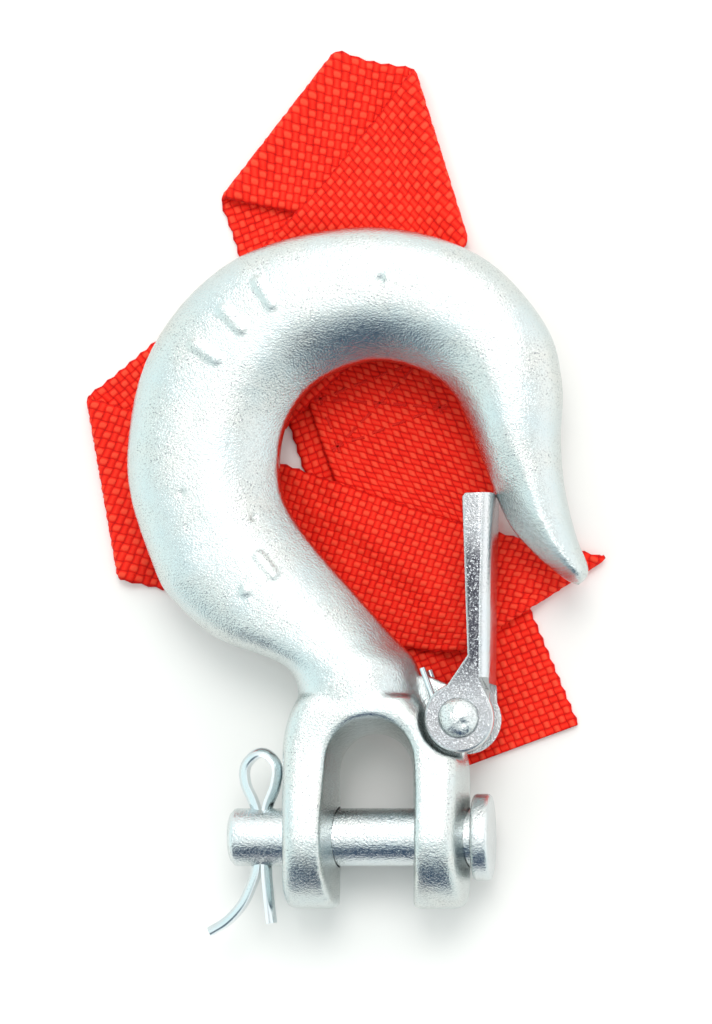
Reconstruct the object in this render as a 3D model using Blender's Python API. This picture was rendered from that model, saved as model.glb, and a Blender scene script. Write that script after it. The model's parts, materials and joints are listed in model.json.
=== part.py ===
"""Forged clevis slip hook: sprung safety latch, clevis pin with its split pin, folded pull strap.

The hook lies on its side on a flat surface: +Z up, the hook's long axis along +Y with the bowl at +Y, and
the clevis pin along +X. Sizes are in millimetres here and become metres when a mesh is made.
Plan positions are written from the clevis pin's centre, with heights from the hook's middle plane.
"""

import math

import bmesh
import bpy
from mathutils import Vector

MM = 0.001

# Where the clevis pin's centre lies in the part's frame.
PIN_CENTRE = Vector((7.43, -58.89, 12.0))

# Clevis pin and its split pin
PIN_R = 4.76                    # 3/8 in pin
PIN_HOLE_R = 5.0
PIN_END_X = -24.4
PIN_HEAD_X = 16.1
PIN_HEAD_R = 7.1
PIN_HEAD_THICK = 3.0
CROSS_HOLE_X = -19.15
CROSS_HOLE_R = 1.75
SPLIT_WIRE_R = 1.4              # radius of the half-round wire

# Clevis fork
EAR_R = 11.9
EAR_OUT = 15.6                  # outer face from the centre line, at the parting plane
GAP_HALF = 6.06                 # inner face from the centre line, at the parting plane
DRAFT = 0.149                   # forging draft, about 8.5 degrees
ARCH_TOP = 16.9
ARCH_RISE = 3.4                 # how much higher the arch is at the front and back

# Bowl of the hook
BOWL_CENTRE = (0.0, 61.5)

# Latch and the lug it turns on
PIVOT = (14.4, 19.4)
LUG_R = 5.0
LUG_HALF = 2.2
RECESS_R = 6.5
RIVET_R = 2.2
RIVET_HOLE_R = 2.5
RIVET_HEAD_R = 3.35
RIVET_HEAD_H = 1.9
LATCH_HALF = 6.5                # half the width over the cheeks
LATCH_SHEET = 1.2
CHEEK_R = 5.7
WEB_END_Y = 25.0                # the web's lower end

# Latch spring
WIRE_R = 0.5
COIL_R = 3.0
COIL_PITCH = 1.05

# Pull strap: webbing folded flat, each layer a step above the one under it
WEB_THICK = 1.2
LAYER_STEP = 1.45
RAMP = 5.0                      # distance over which a layer climbs onto the one under it

HOOK_STATIONS_SHANK = [         # inner edge x, y, outer edge x, y, half thickness
    (6.8, 13.5, -13.4, 13.5, 7.9),
    (7.5, 19.0, -13.0, 19.0, 8.5),
    (7.6, 24.2, -12.8, 24.0, 8.6),
    (6.4, 29.0, -14.5, 27.7, 8.3),
    (2.6, 33.2, -19.4, 30.1, 7.7),
    (-3.5, 40.2, -26.4, 32.7, 7.55),
    (-9.8, 47.3, -33.1, 38.3, 7.55),
]
HOOK_BOWL = [                   # angle about the bowl's centre, inner radius, outer radius, half thickness
    (204, 16.5, 40.9, 7.55),
    (180, 16.4, 42.0, 7.55),
    (152, 16.8, 42.8, 7.55),
    (124, 17.2, 42.2, 7.55),
    (92, 17.4, 39.9, 7.55),
    (64, 17.4, 38.8, 7.4),
    (40, 17.3, 36.5, 7.1),
]
HOOK_STATIONS_TIP = [
    (17.4, 62.9, 31.0, 74.6, 6.6),
    (19.6, 57.0, 30.7, 65.5, 6.0),
    (22.3, 51.2, 31.4, 57.0, 5.4),
    (26.4, 46.3, 33.1, 49.6, 4.8),
    (31.0, 42.4, 35.0, 44.7, 3.8),
    (33.5, 41.2, 35.0, 42.7, 1.8),
]

# Strap corners in plan, in the order the webbing runs: one selvage, then the other.
STRAP_RUNS = {
    "standing": [
        ((8.3, 9.9), (32.2, 18.6)),
        ((-5.3, 41.6), (19.0, 50.5)),
        ((-14.0, 62.3), (10.6, 71.3)),
        ((-28.0, 108.6), (-8.5, 133.2)),
    ],
    "top": [((-28.0, 108.6), (-8.5, 133.2)), ((13.8, 100.5), (4.8, 130.0))],
    "slant": [
        ((13.8, 100.5), (4.8, 130.0)),
        ((3.0, 87.5), (-14.0, 106.5)),
        ((-45.6, 44.0), (-51.3, 75.0)),
    ],
    "cross": [
        ((-45.6, 44.0), (-51.3, 75.0)),
        ((-24.5, 38.6), (-17.5, 62.8)),
        ((3.5, 31.8), (13.1, 52.2)),
        ((13.7, 31.6), (37.0, 46.7)),
    ],
    "back": [
        ((13.7, 31.6), (37.0, 46.7)),
        ((7.5, 43.0), (20.4, 48.6)),
        ((-5.4, 53.7), (17.5, 61.8)),
        ((-14.5, 77.8), (8.6, 86.2)),
    ],
}
STRAP_OVER = {                  # the runs that lie under each run
    "standing": [],
    "top": ["standing"],
    "slant": ["standing", "top", "back"],
    "cross": ["standing", "slant", "back"],
    "back": ["standing"],
}
STRAP_ORDER = ["standing", "top", "slant", "cross", "back"]
BUCKLE_AT = (8.8, 38.5)         # a small ripple in the crossing run
BUCKLE_WAY = (0.6, 0.8)         # the direction its crest runs in
BUCKLE_HEIGHT = 1.0
BUCKLE_LENGTH = 5.5
BUCKLE_WIDTH = 2.2
SEAM_WIDTH = 0.7
SEAM_HEIGHT = 0.35
SEAM_ABOVE = 0.08               # the thread's clearance over the webbing
STAND_WAY = (-0.345, 0.939)     # the direction in which the standing run lies
STITCH_BOX = (64.5, 73.2, 15.0, 33.5)     # the sewn box: two places along the webbing, two across it


def clear_scene():
    for obj in list(bpy.data.objects):
        bpy.data.objects.remove(obj, do_unlink=True)


def material(name, colour, roughness, metallic):
    mat = bpy.data.materials.new(name)
    mat.use_nodes = True
    shader = mat.node_tree.nodes["Principled BSDF"]
    shader.inputs["Base Color"].default_value = (*colour, 1.0)
    shader.inputs["Roughness"].default_value = roughness
    shader.inputs["Metallic"].default_value = metallic
    return mat


def add_mesh(name, points, faces, mat=None, cutter=False):
    """An object from points in millimetres, measured from the clevis pin's centre."""
    mesh = bpy.data.meshes.new(name)
    mesh.from_pydata([(Vector(p) + PIN_CENTRE) * MM for p in points], [], faces)
    work = bmesh.new()
    work.from_mesh(mesh)
    bmesh.ops.recalc_face_normals(work, faces=work.faces)
    work.to_mesh(mesh)
    work.free()
    mesh.shade_smooth()
    mesh.set_sharp_from_angle(angle=math.radians(35))
    obj = bpy.data.objects.new(name, mesh)
    bpy.context.scene.collection.objects.link(obj)
    if mat:
        mesh.materials.append(mat)
    if cutter:
        obj.hide_render = True
        obj.display_type = "WIRE"
    return obj


def move_origin(obj, x, y, z):
    """Puts the object's origin on its joint's axis without moving its mesh."""
    origin = (Vector((x, y, z)) + PIN_CENTRE) * MM
    obj.data.transform(obj.matrix_world.inverted() @ obj.matrix_world.Translation(-origin))
    obj.location = origin


def boolean(obj, other, operation):
    mod = obj.modifiers.new(other.name, "BOOLEAN")
    mod.operation = operation
    mod.object = other
    other.hide_render = True
    other.display_type = "WIRE"


def skin(rings):
    """Joins equal rings of points end to end and caps both ends."""
    count = len(rings[0])
    points = [p for ring in rings for p in ring]
    faces = []
    for i in range(len(rings) - 1):
        for j in range(count):
            k = (j + 1) % count
            faces.append((i * count + j, i * count + k, (i + 1) * count + k, (i + 1) * count + j))
    faces.append(tuple(range(count)))
    faces.append(tuple((len(rings) - 1) * count + j for j in range(count)))
    return points, faces


def extrude_z(outline, low, high):
    return skin([[(x, y, low) for x, y in outline], [(x, y, high) for x, y in outline]])


def turn_x(profile, sides):
    """Turns (x, radius) pairs about the X axis."""
    angles = [2 * math.pi * k / sides for k in range(sides)]
    return skin([[(x, r * math.cos(a), r * math.sin(a)) for a in angles] for x, r in profile])


def turn_z(centre, profile, sides):
    """Turns (z, radius) pairs about a vertical axis through centre."""
    angles = [2 * math.pi * k / sides for k in range(sides)]
    rings = []
    for z, r in profile:
        rings.append([(centre[0] + r * math.cos(a), centre[1] + r * math.sin(a), z) for a in angles])
    return skin(rings)


def arc(centre, radius, start, end, steps):
    angles = [math.radians(start + (end - start) * k / steps) for k in range(steps + 1)]
    return [(centre[0] + radius * math.cos(a), centre[1] + radius * math.sin(a)) for a in angles]


def smooth_path(points, per_span):
    """A Catmull-Rom curve through the points, each a tuple of numbers."""
    ends = [points[0]] + list(points) + [points[-1]]
    result = []
    for a, b, c, d in zip(ends, ends[1:], ends[2:], ends[3:]):
        for step in range(per_span):
            t = step / per_span
            result.append(tuple(
                0.5 * (2 * q + (r - p) * t + (2 * p - 5 * q + 4 * r - s) * t * t
                       + (3 * q - p - 3 * r + s) * t ** 3)
                for p, q, r, s in zip(a, b, c, d)))
    result.append(tuple(points[-1]))
    return result


def tube(path, radius, sides):
    """A round wire along a path, its ring turned as little as possible from point to point."""
    path = [Vector(p) for p in path]
    across = Vector((0, 0, 1))
    rings = []
    for i, point in enumerate(path):
        along = (path[min(i + 1, len(path) - 1)] - path[max(i - 1, 0)]).normalized()
        across = (across - along * across.dot(along)).normalized()
        side = along.cross(across)
        turns = [2 * math.pi * k / sides for k in range(sides)]
        rings.append([tuple(point + (across * math.cos(a) + side * math.sin(a)) * radius) for a in turns])
    return skin(rings)


def hook_stations():
    """Stations from the neck, round the bowl, to the tip."""
    bowl = []
    for angle, inner, outer, half in HOOK_BOWL:
        x, y = math.cos(math.radians(angle)), math.sin(math.radians(angle))
        cx, cy = BOWL_CENTRE
        bowl.append((cx + inner * x, cy + inner * y, cx + outer * x, cy + outer * y, half))
    return HOOK_STATIONS_SHANK + bowl + HOOK_STATIONS_TIP


def hook_ring(station, sides):
    """A forged section: widest at the parting plane, rounder at the inner edge than at the outer."""
    ix, iy, ox, oy, half = station
    ring = []
    for k in range(sides):
        angle = 2 * math.pi * k / sides
        c, s = math.cos(angle), math.sin(angle)
        power = 0.86 if c > 0 else 0.94
        across = math.copysign(abs(c) ** power, c)
        rise = math.copysign(abs(s) ** 0.78, s)
        t = 0.5 + 0.5 * across
        ring.append((ix + (ox - ix) * t, iy + (oy - iy) * t, half * rise))
    return ring


def fork_ring(y, left, right, half, corner):
    """A drafted block section, widest at the parting plane, with rounded front and back edges."""
    quarter = []
    reach = half - corner
    quarter.append((0.0, 0.0))
    quarter.append((DRAFT * reach, reach))
    for angle in (30, 60):
        a = math.radians(angle)
        quarter.append((DRAFT * reach + corner * (1 - math.cos(a)), reach + corner * math.sin(a)))
    quarter.append((DRAFT * reach + corner, half))
    ring = [(right - d, y, z) for d, z in quarter]
    ring += [(left + d, y, z) for d, z in reversed(quarter)]
    ring += [(left + d, y, -z) for d, z in quarter[1:]]
    ring += [(right - d, y, -z) for d, z in reversed(quarter[1:])]
    return ring


def make_fork():
    rows = []
    for angle, inset in ((12, 1.6), (24, 0.7), (42, 0.1), (60, 0.0), (75, 0.0), (90, 0.0)):
        half = EAR_R * math.sin(math.radians(angle))
        y = -EAR_R * math.cos(math.radians(angle))
        rows.append((y, -EAR_OUT + inset, EAR_OUT - inset, half, min(2.0, 0.6 * half)))
    rows += [
        (3.8, -EAR_OUT, EAR_OUT, 11.3, 2.0),
        (8.2, -EAR_OUT, EAR_OUT, 10.2, 2.2),
        (12.4, -EAR_OUT, EAR_OUT - 0.2, 9.1, 2.4),
        (15.5, -15.5, 14.0, 8.8, 2.6),
        (18.6, -14.9, 11.2, 8.8, 2.8),
        (21.0, -14.0, 8.6, 8.7, 3.0),
        (23.0, -12.9, 7.4, 8.2, 3.2),
    ]
    return skin([fork_ring(*row) for row in rows])


def make_fork_gap():
    """The slot between the ears: a round-topped arch that opens towards the front and the back."""
    rings = []
    for z in (-13.5, -9.0, -4.5, 0.0, 4.5, 9.0, 13.5):
        wide = GAP_HALF + DRAFT * abs(z)
        top = ARCH_TOP + ARCH_RISE * min(1.0, abs(z) / 9.5) ** 1.5
        outline = arc((0.0, top - wide), wide, 0, 180, 10)
        outline = [(wide, -14.0)] + outline + [(-wide, -14.0)]
        rings.append([(x, y, z) for x, y in outline])
    return skin(rings)


def make_lug():
    """A flat boss on the parting plane, its root buried in the shank."""
    outline = arc(PIVOT, LUG_R, -95, 100, 14)
    outline += [(9.0, 26.5), (3.0, 26.0), (3.0, 13.6), (10.0, 13.2)]
    return extrude_z(outline, -LUG_HALF, LUG_HALF)


def make_hook_body(mat):
    rings = [hook_ring(s, 18) for s in smooth_path(hook_stations(), 2)]
    hook = add_mesh("hook_body", *skin(rings), mat)
    fork = add_mesh("fork_block", *make_fork(), cutter=True)
    boolean(hook, fork, "UNION")
    for name, low, high in (("recess_front", LUG_HALF, 15.0), ("recess_back", -15.0, -LUG_HALF)):
        recess = add_mesh(name, *turn_z(PIVOT, [(low, RECESS_R), (high, RECESS_R)], 28), cutter=True)
        boolean(hook, recess, "DIFFERENCE")
    boolean(hook, add_mesh("lug", *make_lug(), cutter=True), "UNION")
    boolean(hook, add_mesh("fork_gap", *make_fork_gap(), cutter=True), "DIFFERENCE")
    pin_hole = add_mesh("pin_hole", *turn_x([(-20.0, PIN_HOLE_R), (20.0, PIN_HOLE_R)], 32), cutter=True)
    boolean(hook, pin_hole, "DIFFERENCE")
    rivet_hole = turn_z(PIVOT, [(-4.0, RIVET_HOLE_R), (4.0, RIVET_HOLE_R)], 24)
    boolean(hook, add_mesh("rivet_hole", *rivet_hole, cutter=True), "DIFFERENCE")
    return hook


def make_latch(mat):
    """A pressed channel: two cheeks round the rivet, joined by a web along the outer side of the arm."""
    outline = arc(PIVOT, CHEEK_R, 28.7, -250, 26)
    outline += [(15.8, 29.6), (15.5, 38.6), (15.0, 55.4), (15.8, 56.2)]
    outline += [(19.2, 56.2), (20.0, 55.4), (19.5, 38.6), (19.4, 26.0)]
    latch = add_mesh("latch", *extrude_z(outline, -LATCH_HALF, LATCH_HALF), mat)
    inside = LATCH_HALF - LATCH_SHEET
    hollow = [(18.75, 60.0), (18.25, 38.6), (18.2, WEB_END_Y), (30.0, WEB_END_Y)]
    hollow += [(30.0, 5.0), (0.0, 5.0), (0.0, 60.0)]
    hollow = extrude_z(hollow, -inside, inside)
    boolean(latch, add_mesh("latch_hollow", *hollow, cutter=True), "DIFFERENCE")
    hole = turn_z(PIVOT, [(-8.0, RIVET_HOLE_R), (8.0, RIVET_HOLE_R)], 24)
    boolean(latch, add_mesh("latch_hole", *hole, cutter=True), "DIFFERENCE")
    move_origin(latch, *PIVOT, 0.0)
    return latch


def make_rivet(mat):
    """The latch's rivet, a plain shank with a domed head clinched at each end."""
    under = LATCH_HALF + 0.2
    dome = []
    for angle in (0, 25, 48, 68, 84):
        a = math.radians(angle)
        dome.append((under + RIVET_HEAD_H * math.sin(a), RIVET_HEAD_R * math.cos(a)))
    half = [(under, RIVET_R)] + dome
    profile = [(-z, r) for z, r in reversed(half)] + half
    rivet = add_mesh("latch_rivet", *turn_z(PIVOT, profile, 24), mat)
    move_origin(rivet, *PIVOT, 0.0)
    return rivet


def make_spring(mat):
    """A double torsion spring: a coil each side of the lug, a loop behind the web, two legs on the shank."""
    leg_x, leg_y = 8.2, 27.6
    away = math.degrees(math.atan2(leg_y - PIVOT[1], leg_x - PIVOT[0]))
    reach = math.hypot(leg_x - PIVOT[0], leg_y - PIVOT[1])
    touch = away + math.degrees(math.acos(COIL_R / reach))
    sweep = 720 - touch
    z_in = 3.15
    z_out = z_in + COIL_PITCH * sweep / 360
    half = [(leg_x, leg_y, z_out)]
    for k in range(21):
        a = math.radians(touch + sweep * k / 20)
        z = z_out + (z_in - z_out) * k / 20
        half.append((PIVOT[0] + COIL_R * math.cos(a), PIVOT[1] + COIL_R * math.sin(a), z))
    half.append((17.4, 27.0, z_in))
    for a in (0, 22, 45, 67):
        half.append((17.45, 33.5 + z_in * math.sin(math.radians(a)), z_in * math.cos(math.radians(a))))
    path = half + [(17.45, 33.5 + z_in, 0.0)] + [(x, y, -z) for x, y, z in reversed(half)]
    spring = add_mesh("latch_spring", *tube(path, WIRE_R, 6), mat)
    move_origin(spring, *PIVOT, 0.0)
    return spring


def make_clevis_pin(mat):
    head = PIN_HEAD_X + PIN_HEAD_THICK
    profile = [
        (PIN_END_X, PIN_R - 0.8), (PIN_END_X + 0.8, PIN_R), (PIN_HEAD_X, PIN_R),
        (PIN_HEAD_X, PIN_HEAD_R - 0.5), (PIN_HEAD_X + 0.5, PIN_HEAD_R),
        (head - 0.6, PIN_HEAD_R), (head, PIN_HEAD_R - 0.6),
    ]
    pin = add_mesh("clevis_pin", *turn_x(profile, 32), mat)
    angles = [2 * math.pi * k / 16 for k in range(16)]
    rim = [(CROSS_HOLE_X + CROSS_HOLE_R * math.cos(a), CROSS_HOLE_R * math.sin(a)) for a in angles]
    rings = [[(x, y, z) for x, z in rim] for y in (-7.0, 7.0)]
    boolean(pin, add_mesh("cross_hole", *skin(rings), cutter=True), "DIFFERENCE")
    move_origin(pin, 0.0, 0.0, 0.0)
    return pin


def make_split_pin(mat):
    """Half-round wire bent double: an eye above the pin, one leg bent away and one left straight."""
    x = CROSS_HOLE_X
    route = [
        (x - 8.3, -16.2), (x - 5.4, -14.4), (x - 2.8, -11.6), (x - 1.2, -8.4), (x - 0.2, -5.2),
        (x - 0.1, 0.0), (x - 0.1, 3.6), (x - 0.9, 6.3), (x - 2.1, 9.0), (x - 2.1, 11.6),
        (x - 0.1, 13.2), (x + 1.8, 11.6), (x + 1.6, 8.6), (x + 0.5, 5.8), (x + 0.1, 3.6),
        (x + 0.1, 0.0), (x + 0.1, -5.2), (x + 0.5, -10.0), (x + 1.0, -14.2),
    ]
    path = smooth_path(route, 3)
    rings = []
    for i, (px, py) in enumerate(path):
        ax, ay = path[max(i - 1, 0)]
        bx, by = path[min(i + 1, len(path) - 1)]
        size = math.hypot(bx - ax, by - ay)
        nx, ny = (by - ay) / size, -(bx - ax) / size       # towards the inside of the eye
        ring = []
        for angle in (0, 36, 72, 108, 144, 180):
            a = math.radians(angle)
            out, side = SPLIT_WIRE_R * math.sin(a), SPLIT_WIRE_R * math.cos(a)
            ring.append((px - nx * out, py - ny * out, side))
        rings.append(ring)
    pin = add_mesh("split_pin", *skin(rings), mat)
    move_origin(pin, x, 0.0, 0.0)
    return pin


def ramp_inside(quad, x, y):
    """1 inside a four-cornered patch, falling to 0 over RAMP outside it."""
    first, second = quad
    corners = [first[0], first[1], second[1], second[0]]
    area = sum(p[0] * q[1] - q[0] * p[1] for p, q in zip(corners, corners[1:] + corners[:1]))
    nearest = 1e9
    for (px, py), (qx, qy) in zip(corners, corners[1:] + corners[:1]):
        size = math.hypot(qx - px, qy - py)
        inward = ((qx - px) * (y - py) - (qy - py) * (x - px)) / size * math.copysign(1, area)
        nearest = min(nearest, inward)
    t = min(1.0, max(0.0, 1.0 + nearest / RAMP))
    return t * t * (3 - 2 * t)


def run_cover(run, x, y):
    rungs = STRAP_RUNS[run]
    return max(ramp_inside(quad, x, y) for quad in zip(rungs, rungs[1:]))


def strap_level(run, x, y):
    level = sum(run_cover(under, x, y) for under in STRAP_OVER[run])
    if run == "cross":
        dx, dy = x - BUCKLE_AT[0], y - BUCKLE_AT[1]
        along = (dx * BUCKLE_WAY[0] + dy * BUCKLE_WAY[1]) / BUCKLE_LENGTH
        across = (dx * BUCKLE_WAY[1] - dy * BUCKLE_WAY[0]) / BUCKLE_WIDTH
        level += BUCKLE_HEIGHT / LAYER_STEP * math.exp(-along ** 2 - across ** 2)
    return level


def strap_rungs(spacing, across):
    """Rows of points over the webbing's middle surface, from its loose end to its sewn end."""
    rows = []
    for number, run in enumerate(STRAP_ORDER):
        rungs = STRAP_RUNS[run]
        for (p0, q0), (p1, q1) in zip(rungs, rungs[1:]):
            length = 0.5 * (math.dist(p0, p1) + math.dist(q0, q1))
            steps = max(2, round(length / spacing))
            for k in range(steps + (rungs[-1] == (p1, q1))):
                t = k / steps
                row = []
                for j in range(across + 1):
                    u = j / across
                    a = [p0[i] + (p1[i] - p0[i]) * t for i in (0, 1)]
                    b = [q0[i] + (q1[i] - q0[i]) * t for i in (0, 1)]
                    x, y = a[0] + (b[0] - a[0]) * u, a[1] + (b[1] - a[1]) * u
                    row.append(Vector((x, y, strap_level(run, x, y) * LAYER_STEP)))
                rows.append(row)
        if number + 1 < len(STRAP_ORDER):
            rows += fold_rows(rows[-1], rows[-2], strap_level, STRAP_ORDER[number + 1])
    return rows


def fold_rows(edge, before, level_of, next_run):
    """A half turn of the webbing about its fold line, up or down to the next run's height."""
    line = (edge[-1] - edge[0]).to_2d().normalized()
    out = Vector((line.y, -line.x))
    if out.dot((edge[0] - before[0]).to_2d()) < 0:
        out = -out
    rows = []
    for k in (1, 2, 3, 4):
        angle = math.pi * k / 5
        row = []
        for p in edge:
            rise = level_of(next_run, p.x, p.y) * LAYER_STEP - p.z
            radius = 0.5 * abs(rise)
            reach = radius * math.sin(angle)
            climb = 0.5 * rise * (1 - math.cos(angle))
            row.append(Vector((p.x + out.x * reach, p.y + out.y * reach, p.z + climb)))
        rows.append(row)
    return rows


def strap_solid(rows, half):
    """Gives the webbing its thickness, half to each side of its middle surface."""
    last, across = len(rows) - 1, len(rows[0]) - 1
    rings = []
    for i, row in enumerate(rows):
        upper, lower = [], []
        for j, point in enumerate(row):
            along = rows[min(i + 1, last)][j] - rows[max(i - 1, 0)][j]
            sideways = row[min(j + 1, across)] - row[max(j - 1, 0)]
            normal = along.cross(sideways).normalized() * half
            upper.append(tuple(point + normal))
            lower.append(tuple(point - normal))
        rings.append(upper + lower[::-1])
    return skin(rings)


def strap_to_pin(points):
    """Strap heights are from the surface it lies on, other heights from the hook's middle plane."""
    return [(x, y, z + 0.5 * WEB_THICK - PIN_CENTRE.z) for x, y, z in points]


def make_strap(mat):
    points, faces = strap_solid(strap_rungs(5.0, 6), 0.5 * WEB_THICK)
    return add_mesh("pull_strap", strap_to_pin(points), faces, mat)


def make_stitching(mat):
    """The thread of the sewn box, lying on the webbing as one closed frame of seams."""
    low, high, left, right = STITCH_BOX
    under = LAYER_STEP + WEB_THICK + SEAM_ABOVE - PIN_CENTRE.z
    over = under + SEAM_HEIGHT
    half = 0.5 * SEAM_WIDTH
    wx, wy = STAND_WAY
    corners = [
        (low, left, -1, -1), (low, right, -1, 1), (high, right, 1, 1), (high, left, 1, -1),
    ]
    points = []
    for s, o, out_along, out_across in corners:
        for side, z in ((-half, under), (half, under), (half, over), (-half, over)):
            along, across = s + side * out_along, o + side * out_across
            points.append((wy * across + wx * along, wy * along - wx * across, z))
    faces = []
    for corner in range(4):
        for k in range(4):
            a, b = 4 * corner + k, 4 * corner + (k + 1) % 4
            faces.append((a, b, (b + 4) % 16, (a + 4) % 16))
    return add_mesh("strap_stitching", points, faces, mat)


def main():
    clear_scene()
    zinc = material("zinc_forging", (0.80, 0.81, 0.82), 0.34, 1.0)
    plated = material("zinc_sheet", (0.72, 0.73, 0.75), 0.28, 1.0)
    bright = material("zinc_pin", (0.84, 0.85, 0.86), 0.22, 1.0)
    wire = material("spring_wire", (0.55, 0.58, 0.60), 0.25, 1.0)
    webbing = material("red_nylon", (0.80, 0.02, 0.012), 0.75, 0.0)
    thread = material("red_thread", (0.55, 0.008, 0.006), 0.7, 0.0)
    make_hook_body(zinc)
    make_latch(plated)
    make_rivet(bright)
    make_spring(wire)
    make_clevis_pin(bright)
    make_split_pin(bright)
    make_strap(webbing)
    make_stitching(thread)


main()
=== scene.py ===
# Looks for a forged clevis slip hook: bright zinc forging, pressed latch, turned pins, red webbing strap.
# Plan sizes are in millimetres from the clevis pin's centre, with heights from the hook's middle plane.
import json
import math

import bmesh
import bpy
import numpy as np
from mathutils import Matrix, Vector, noise


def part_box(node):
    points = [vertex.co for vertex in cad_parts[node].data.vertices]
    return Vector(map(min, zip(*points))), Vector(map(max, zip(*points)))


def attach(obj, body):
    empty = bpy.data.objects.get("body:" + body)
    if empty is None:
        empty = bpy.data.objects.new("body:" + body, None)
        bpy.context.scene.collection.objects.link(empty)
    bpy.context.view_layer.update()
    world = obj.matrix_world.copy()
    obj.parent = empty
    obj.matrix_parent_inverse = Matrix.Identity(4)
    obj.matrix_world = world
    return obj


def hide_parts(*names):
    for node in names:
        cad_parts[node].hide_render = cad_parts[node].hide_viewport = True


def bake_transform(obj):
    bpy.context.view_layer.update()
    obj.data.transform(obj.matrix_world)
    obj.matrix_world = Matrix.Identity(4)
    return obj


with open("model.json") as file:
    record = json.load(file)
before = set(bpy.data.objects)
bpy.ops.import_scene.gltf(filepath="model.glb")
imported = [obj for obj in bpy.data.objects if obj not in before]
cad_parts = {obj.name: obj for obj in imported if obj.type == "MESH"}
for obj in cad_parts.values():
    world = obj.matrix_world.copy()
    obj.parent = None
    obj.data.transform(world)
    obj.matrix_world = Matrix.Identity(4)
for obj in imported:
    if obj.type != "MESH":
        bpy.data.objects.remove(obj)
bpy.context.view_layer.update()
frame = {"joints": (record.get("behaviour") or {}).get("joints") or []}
mm = 0.001
joints = {joint["name"]: joint for joint in frame["joints"]}
pinAt = Vector(joints["pin_turn"]["pos_m"])
pivotAt = Vector(joints["latch_hinge"]["pos_m"])
pivot = tuple((pivotAt - pinAt)[i] / mm for i in (0, 1))
crossHoleX = (joints["split_pin_turn"]["pos_m"][0] - pinAt.x) / mm
strapFloor = (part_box("pull_strap")[0].z - pinAt.z) / mm


def hexColour(text):  # sRGB hex to the linear colour that a socket takes
    parts = [int(text[i:i + 2], 16) / 255 for i in (1, 3, 5)]
    linear = [c / 12.92 if c <= 0.04045 else ((c + 0.055) / 1.055) ** 2.4 for c in parts]
    return (*linear, 1.0)


def addNode(tree, kind, inputs=None, **settings):  # a node with its settings, values and links
    node = tree.nodes.new(kind)
    for key, value in settings.items():
        setattr(node, key, value)
    for key, value in (inputs or {}).items():
        if isinstance(value, bpy.types.NodeSocket):
            tree.links.new(value, node.inputs[key])
        else:
            node.inputs[key].default_value = value
    return node


def scaleFor(size):  # a texture's scale from its real size in millimetres
    return 1 / (size * mm)


def newMaterial(name):
    mat = bpy.data.materials.new(name)
    mat.use_nodes = True
    return mat, mat.node_tree, mat.node_tree.nodes["Principled BSDF"]


def linkNew(name, data):  # a new object in the scene's own collection
    obj = bpy.data.objects.new(name, data)
    bpy.context.scene.collection.objects.link(obj)
    return obj


def smoothStep(value):
    t = np.clip(value, 0.0, 1.0)
    return t * t * (3 - 2 * t)


def toFrame(points):  # millimetres from the pin's centre to metres in the shared frame
    return [tuple(p) for p in np.asarray(points, float) * mm + np.array(pinAt)]


def makeMesh(name, points, faces, material=None, sharp=35):
    mesh = bpy.data.meshes.new(name)
    mesh.from_pydata(toFrame(points), [], faces)
    work = bmesh.new()
    work.from_mesh(mesh)
    bmesh.ops.recalc_face_normals(work, faces=work.faces)
    work.to_mesh(mesh)
    work.free()
    mesh.shade_smooth()
    mesh.set_sharp_from_angle(angle=math.radians(sharp))
    if material:
        mesh.materials.append(material)
    return linkNew(name, mesh)


def skin(rings):  # joins equal rings end to end, with a cap on each end
    count = len(rings[0])
    points = [p for ring in rings for p in ring]
    faces = []
    for a in range(0, len(points) - count, count):
        b = a + count
        faces += [(a + j, a + (j + 1) % count, b + (j + 1) % count, b + j) for j in range(count)]
    last = len(points) - count
    return points, faces + [tuple(range(count)), tuple(last + j for j in range(count))]


def extrudeZ(outline, low, high):
    return skin([[(x, y, low) for x, y in outline], [(x, y, high) for x, y in outline]])


def roundWays(sides):  # evenly spaced directions round a circle
    return [(math.cos(2 * math.pi * k / sides), math.sin(2 * math.pi * k / sides)) for k in range(sides)]


def rod(radius, low, high):  # the profile of a plain cylinder
    return [(low, radius), (high, radius)]


def turnX(profile, sides):  # (x, radius) pairs turned about the X axis
    return skin([[(x, r * c, r * s) for c, s in roundWays(sides)] for x, r in profile])


def turnOnPivot(profile, sides=64):  # (z, radius) pairs turned about the latch's upright axis
    return skin([[(pivot[0] + r * c, pivot[1] + r * s, z) for c, s in roundWays(sides)] for z, r in profile])


def arc(centre, radius, start, end, steps):
    turns = [math.radians(start + (end - start) * k / steps) for k in range(steps + 1)]
    return [(centre[0] + radius * math.cos(a), centre[1] + radius * math.sin(a)) for a in turns]


def smoothPath(points, perSpan):  # a Catmull-Rom curve through tuples of numbers
    ends = [points[0]] + list(points) + [points[-1]]
    result = []
    for a, b, c, d in zip(ends, ends[1:], ends[2:], ends[3:]):
        for step in range(perSpan):
            t = step / perSpan
            result.append(tuple(
                0.5 * (2 * q + (r - p) * t + (2 * p - 5 * q + 4 * r - s) * t * t
                       + (3 * q - p - 3 * r + s) * t ** 3)
                for p, q, r, s in zip(a, b, c, d)))
    result.append(tuple(points[-1]))
    return result


def cutOrJoin(obj, other, operation, solver="EXACT"):
    mod = obj.modifiers.new(other.name, "BOOLEAN")
    mod.operation = operation
    mod.solver = solver
    mod.object = other
    other.hide_render = True


def evaluatedMesh(obj):
    bpy.context.view_layer.update()
    return bpy.data.meshes.new_from_object(obj.evaluated_get(bpy.context.evaluated_depsgraph_get()))


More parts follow.
